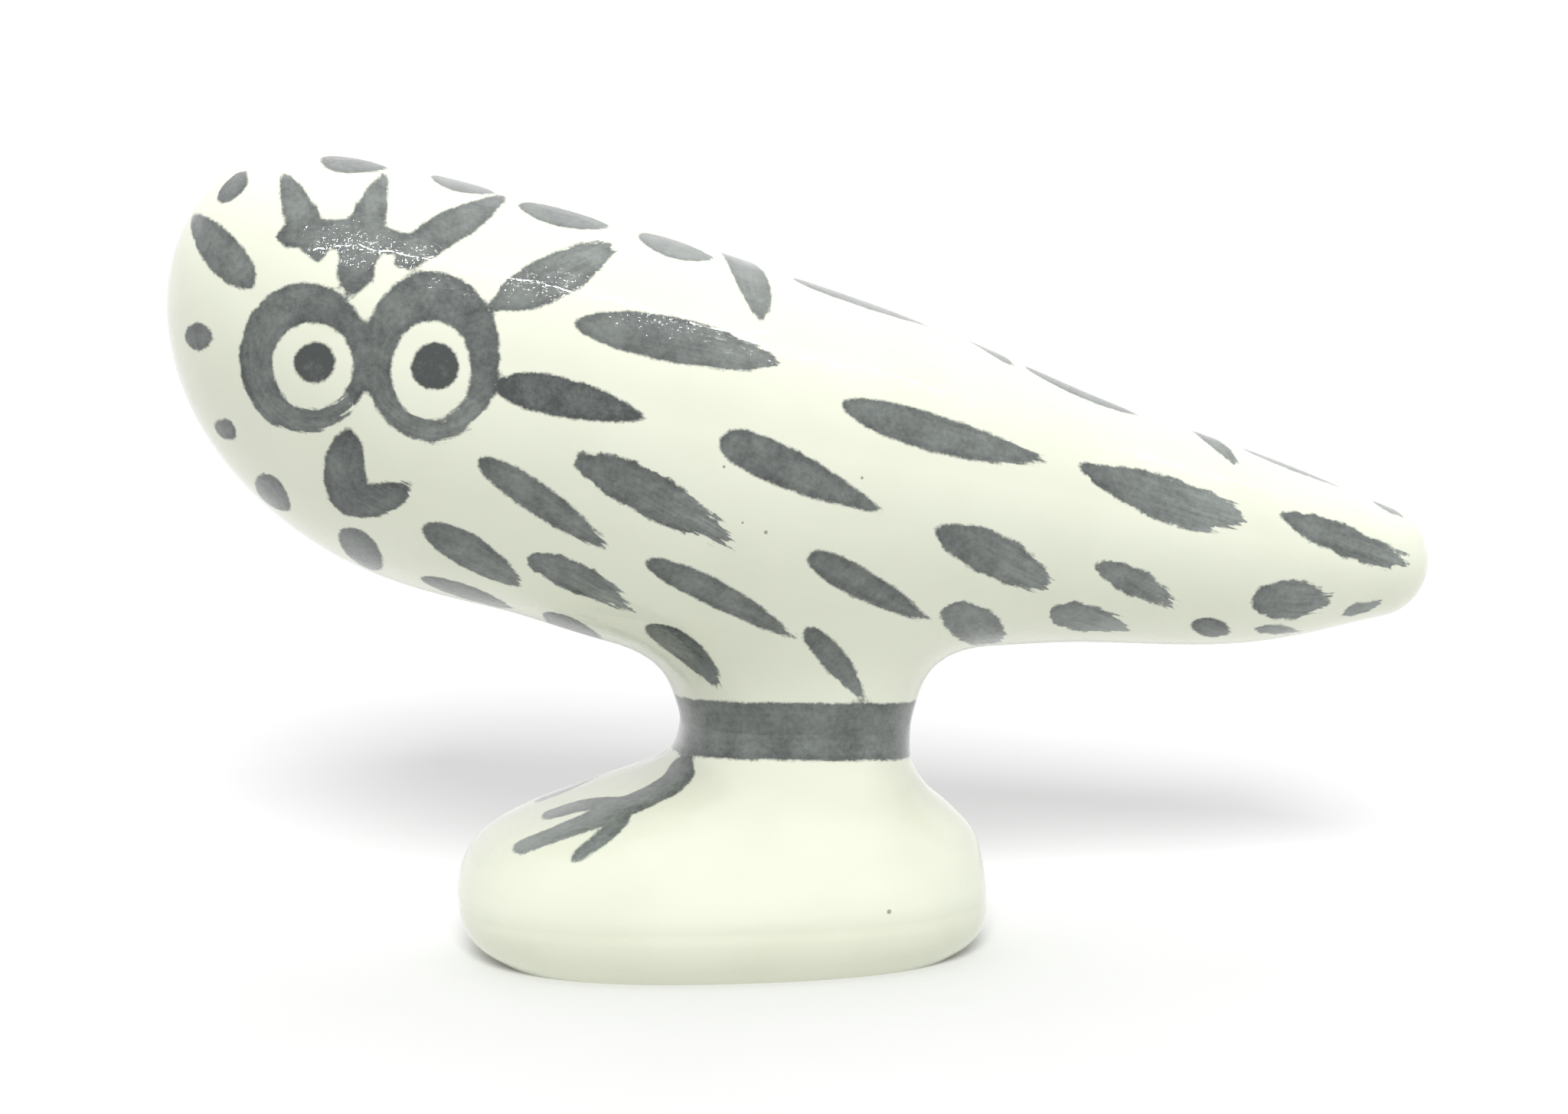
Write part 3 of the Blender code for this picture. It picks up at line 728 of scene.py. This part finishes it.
def paint_colour(nodes, place, edge, streak, tail, dragged, tone):
    """Thin to full paint: grainy, pooled along its rim, streaked and paler where it ran dry."""
    streaking = nodes.remap(dragged, 0.0, 1.0, WET_STREAKS, DRY_STREAKS, smooth=False)
    depth = nodes.total(
        tone,
        nodes.scaled(nodes.centred_noise(place, **GRAIN), GRAIN_DEPTH),
        nodes.scaled(nodes.centred_noise(place, **WASH), WASH_DEPTH),
        nodes.math("MULTIPLY", streak, streaking),
        nodes.scaled(tail, -TAIL_LOSS),
        nodes.remap(edge, *POOLED_RIM, 0.0, POOL_DEPTH),
    )
    return nodes.mix(nodes.remap(depth, 0.0, 1.0, smooth=False), PAINT_THIN, PAINT_FULL)


def brushwork(nodes, place):
    """Coverage and colour of the paint from the values stored on the skin."""
    edge = nodes.attribute("paint_edge").outputs["Fac"]
    along, across, share = nodes.split(nodes.attribute("stroke_place").outputs["Vector"])
    tone, dryness, number = nodes.split(nodes.attribute("stroke_load").outputs["Vector"])
    bristles = nodes.join(
        nodes.scaled(along, STREAKS_ALONG),
        nodes.scaled(across, STREAKS_ACROSS),
        nodes.scaled(number, STROKE_SHIFT),
    )
    streak = nodes.centred_noise(bristles, **STREAK)
    tail = nodes.math("MULTIPLY", nodes.remap(share, *TAIL_SHARES), dryness)
    dragged = nodes.math("MULTIPLY", nodes.remap(share, *DRAGGED_SHARES), dryness)
    cover = coverage(nodes, place, edge, streak, tail, dryness)
    return cover, paint_colour(nodes, place, edge, streak, tail, dragged, tone)


def painted_glaze(seam):
    """Clear gloss glaze over ivory clay, with the brushwork under it."""
    nodes = Nodes(bpy.data.materials.new("painted_glaze"))
    place = mm_place(nodes)
    cover, paint = brushwork(nodes, place)
    nodes.shade(nodes.mix(cover, glaze_colour(nodes, place, seam), paint), GLOSS)
    undulation = nodes.bump(nodes.noise(place, **UNDULATION), UNDULATION_HEIGHT * MM)
    pits = nodes.remap(nodes.noise(place, **PITS), *PIT_RANGE)
    nodes.link(nodes.bump(pits, PIT_HEIGHT * MM, undulation), nodes.shader.inputs["Coat Normal"])
    return nodes.owner


def bisque():
    """Unglazed fired clay of the resting face: matt, sandy and slightly rubbed."""
    nodes = Nodes(bpy.data.materials.new("bisque"))
    place = mm_place(nodes)
    sand = nodes.noise(place, **SAND)
    rubbed = nodes.remap(nodes.noise(place, **RUBBING), *RUBBING_RANGE, 0.0, RUBBED_SHARE)
    colour = nodes.mix(nodes.remap(sand, *MIDDLE_RANGE), CLAY_DARK, CLAY_LIGHT)
    nodes.shade(nodes.mix(rubbed, colour, CLAY_RUBBED), MATT_CLAY)
    nodes.link(nodes.bump(sand, SAND_HEIGHT * MM), nodes.shader.inputs["Normal"])
    return nodes.owner


def paper():
    """Plain pale table top."""
    nodes = Nodes(bpy.data.materials.new("paper"))
    place = mm_place(nodes)
    tooth = nodes.remap(nodes.noise(place, **TOOTH), *MIDDLE_RANGE)
    nodes.shade(nodes.mix(tooth, PAPER_DARK, PAPER_LIGHT), MATT_PAPER)
    return nodes.owner


# ---------------------------------------------------------------- pieces

def joint_levels():
    """Heights where the castings meet, from the frame."""
    slab_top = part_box("base_plate")[1][2]
    foot_low, foot_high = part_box("foot_shell")[0][2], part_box("foot_shell")[1][2]
    body_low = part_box("body_shell")[0][2]
    return (slab_top + foot_low) / 2 / MM, (foot_high + body_low) / 2 / MM


def cut_level(shape, level, keep_above):
    """Cut the bmesh at a level and drop one side."""
    bmesh.ops.bisect_plane(
        shape,
        geom=list(shape.verts) + list(shape.edges) + list(shape.faces),
        dist=CUT_MERGE,
        plane_co=(0.0, 0.0, level),
        plane_no=(0.0, 0.0, 1.0),
        clear_outer=not keep_above,
        clear_inner=keep_above,
    )


def cut_piece(skin, low, high):
    """The skin between two levels; None leaves that end whole."""
    shape = bmesh.new()
    shape.from_mesh(skin)
    if high is not None:
        cut_level(shape, high, keep_above=False)
    if low is not None:
        cut_level(shape, low, keep_above=True)
    return shape


def rim_edges(shape, level):
    """Open edges that lie on a level."""
    return [
        edge
        for edge in shape.edges
        if edge.is_boundary and all(abs(vertex.co.z - level) < LEVEL_TOUCH for vertex in edge.verts)
    ]


def close_level(shape, level):
    """Flat face over the open rim on a level, bare clay like every face the glaze did not reach."""
    made = bmesh.ops.contextual_create(shape, geom=rim_edges(shape, level))
    for face in made["faces"]:
        face.material_index = 1


def close_with_vent(shape, levels):
    """Flat faces over the rims on two levels, joined by the round vent that passes through them."""
    vent = []
    for level in levels:
        rim = rim_edges(shape, level)
        ring = bmesh.ops.create_circle(shape, segments=VENT_STEPS, radius=VENT_RADIUS)["verts"]
        bmesh.ops.translate(shape, verts=ring, vec=(VENT_X, 0.0, level))
        around = list({edge for vertex in ring for edge in vertex.link_edges})
        made = bmesh.ops.triangle_fill(shape, edges=rim + around, use_beauty=True)
        for item in made["geom"]:
            if isinstance(item, bmesh.types.BMFace):
                item.material_index = 1
        vent += around
    made = bmesh.ops.bridge_loops(shape, edges=vent)
    for face in made["faces"]:
        face.material_index = 1


def shade_like_skin(mesh):
    """Shade the glazed faces with the normals of the uncut skin, and the bare faces flat."""
    skin_normals = np.empty(len(mesh.vertices) * 3, dtype=np.float32)
    mesh.attributes["skin_normal"].data.foreach_get("vector", skin_normals)
    skin_normals = skin_normals.reshape(-1, 3)
    loop_normals = []
    for face in mesh.polygons:
        face.use_smooth = face.material_index == 0
        for corner in face.vertices:
            loop_normals.append(skin_normals[corner] if face.use_smooth else face.normal)
    mesh.normals_split_custom_set(loop_normals)
    mesh.attributes.remove(mesh.attributes["skin_normal"])


def add_piece(name, shape, materials, replaced):
    """Finish a bmesh in millimetres as a riding piece whose shading runs on across the cuts."""
    bmesh.ops.recalc_face_normals(shape, faces=shape.faces)
    mesh = bpy.data.meshes.new(name)
    shape.to_mesh(mesh)
    shape.free()
    write_points(mesh, read_points(mesh) * MM)
    for made in materials:
        mesh.materials.append(made)
    shade_like_skin(mesh)
    piece = bpy.data.objects.new(name, mesh)
    bpy.context.collection.objects.link(piece)
    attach(piece, ROOT)
    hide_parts(*replaced)
    return piece


def make_owl():
    seam, ankle = joint_levels()
    skin = fine_skin()
    lay_paint(skin)
    write_points(skin, seam_groove(read_points(skin), seam))
    store(skin, "skin_normal", np.array([tuple(normal.vector) for normal in skin.vertex_normals]))
    materials = [painted_glaze(seam), bisque()]

    shape = cut_piece(skin, ankle, None)
    close_level(shape, ankle)
    of_body = ["body_shell", "ankle_joint_slip"]
    of_body += names_with("flank_feather") + names_with("head_feather") + names_with("back_feather")
    of_body += ["eye_rings", "left_pupil", "right_pupil", "crown_mark", "beak_mark"]
    body = add_piece("glazed_body", shape, materials, of_body)

    shape = cut_piece(skin, seam, ankle)
    close_level(shape, seam)
    close_level(shape, ankle)
    of_foot = ["foot_shell", "ankle_band", "left_leg_mark", "right_leg_mark"]
    foot = add_piece("glazed_foot", shape, materials, of_foot)

    shape = cut_piece(skin, 0.0, seam)
    close_with_vent(shape, (0.0, seam))
    slab = add_piece("base_slab", shape, materials, ["base_plate", "base_joint_slip"])

    bpy.data.meshes.remove(skin)
    return body, foot, slab


# ---------------------------------------------------------------- stage

# Camera and floor, in metres and degrees. A turn is from the owl's left side towards its tail.
TARGET = Vector((5.5, 0.0, 34.9)) * MM
VIEW_TURN = -8.0
VIEW_RISE = 9.0
CAMERA_DISTANCE = 0.45
CAMERA_CLIP = 0.01
FRAME_WIDTH = 0.13653
FLOOR_SIZE = 40.0

# Light: a room that is brighter behind the owl, a front lamp that throws its shadow back over the
# floor, soft lamps that reach the owl alone, from overhead and faintly from below and on its foot, and
# a thin tube that shows only as a line in the body's glaze. The floor doesn't block the owl's own lamps.
ROOM_FRONT = 0.4
ROOM_BACK = 1.6
ROOM_WHITE = 1.0
FRONT_LAMP = {"power": 3.6, "spread": 18.0, "turn": -8.0, "rise": 31.0}
TOP_LAMP = {"power": 3.6, "spread": 60.0, "turn": 0.0, "rise": 70.0}
FILL_LAMP = {"power": 0.6, "spread": 50.0, "turn": 35.0, "rise": -35.0}
FOOT_LAMP = {"power": 0.85, "spread": 60.0, "turn": -25.0, "rise": -10.0}
LAMP_DISTANCE = 1.0
TUBE_OFFSET = Vector((0.2, -0.34, 1.0))
TUBE_SIZE = (1.3, 0.005)
TUBE_LEAN, TUBE_TURN = 18.0, 21.8
TUBE_POWER = 7.0


def add_floor():
    half = FLOOR_SIZE / 2
    mesh = bpy.data.meshes.new("floor")
    corners = [(-half, -half, 0.0), (half, -half, 0.0), (half, half, 0.0), (-half, half, 0.0)]
    mesh.from_pydata(corners, [], [(0, 1, 2, 3)])
    mesh.materials.append(paper())
    floor = bpy.data.objects.new("floor", mesh)
    bpy.context.collection.objects.link(floor)
    return floor


def add_aimed(name, data, turn, rise, distance):
    """Add a camera or lamp at a distance from the target, looking at it. Angles are degrees."""
    turn, rise = radians(turn), radians(rise)
    towards = Vector((sin(turn) * cos(rise), -cos(turn) * cos(rise), sin(rise)))
    item = bpy.data.objects.new(name, data)
    item.location = TARGET + distance * towards
    item.rotation_euler = (-towards).to_track_quat("-Z", "Y").to_euler()
    bpy.context.collection.objects.link(item)
    return item


def add_camera():
    camera = bpy.data.cameras.new("camera")
    camera.lens = camera.sensor_width * CAMERA_DISTANCE / FRAME_WIDTH
    camera.clip_start = CAMERA_CLIP
    bpy.context.scene.camera = add_aimed("camera", camera, VIEW_TURN, VIEW_RISE, CAMERA_DISTANCE)


def light_only(lamp, pieces):
    """Let a lamp reach only the given pieces."""
    receivers = bpy.data.collections.new(lamp.name)
    for piece in pieces:
        receivers.objects.link(piece)
    lamp.light_linking.receiver_collection = receivers


def add_soft_lamp(name, pieces, power, spread, turn, rise):
    """Distant soft lamp that reaches only the given pieces and does not show in the glaze."""
    light = bpy.data.lights.new(name, "SUN")
    light.energy = power
    light.angle = radians(spread)
    lamp = add_aimed(name, light, turn, rise, LAMP_DISTANCE)
    lamp.visible_glossy = False
    light_only(lamp, pieces)
    return lamp


def add_tube(pieces):
    light = bpy.data.lights.new("tube", "AREA")
    light.shape = "RECTANGLE"
    light.size, light.size_y = TUBE_SIZE
    light.energy = TUBE_POWER
    lamp = bpy.data.objects.new("tube", light)
    lamp.location = TARGET + TUBE_OFFSET
    lamp.rotation_euler = (radians(TUBE_LEAN), 0.0, radians(TUBE_TURN))
    lamp.visible_diffuse = False
    bpy.context.collection.objects.link(lamp)
    light_only(lamp, pieces)


def add_room():
    """Light from all round, but plain white where the room is seen or mirrored in the glaze."""
    world = bpy.data.worlds.new("studio")
    bpy.context.scene.world = world
    nodes = Nodes(world)
    depth = nodes.split(nodes.add("ShaderNodeTexCoord").outputs["Generated"])[1]
    glow = nodes.remap(depth, -1.0, 1.0, ROOM_FRONT, ROOM_BACK, smooth=False)
    path = nodes.add("ShaderNodeLightPath").outputs
    looked_at = nodes.math("MAXIMUM", path["Is Camera Ray"], path["Is Glossy Ray"])
    strength = nodes.remap(looked_at, 0.0, 1.0, glow, ROOM_WHITE, smooth=False)
    background = nodes.tree.nodes["Background"]
    background.inputs["Color"].default_value = WHITE
    nodes.link(strength, background.inputs["Strength"])


def add_stage(owl):
    add_camera()
    add_room()
    add_soft_lamp("front_lamp", [add_floor()], **FRONT_LAMP)
    for name, pieces, settings in (
        ("top_lamp", owl, TOP_LAMP),
        ("fill_lamp", owl, FILL_LAMP),
        ("foot_lamp", owl[1:], FOOT_LAMP),
    ):
        lamp = add_soft_lamp(name, pieces, **settings)
        lamp.light_linking.blocker_collection = lamp.light_linking.receiver_collection
    add_tube(owl[:1])
    bpy.context.scene.view_settings.view_transform = "Standard"


add_stage(make_owl())
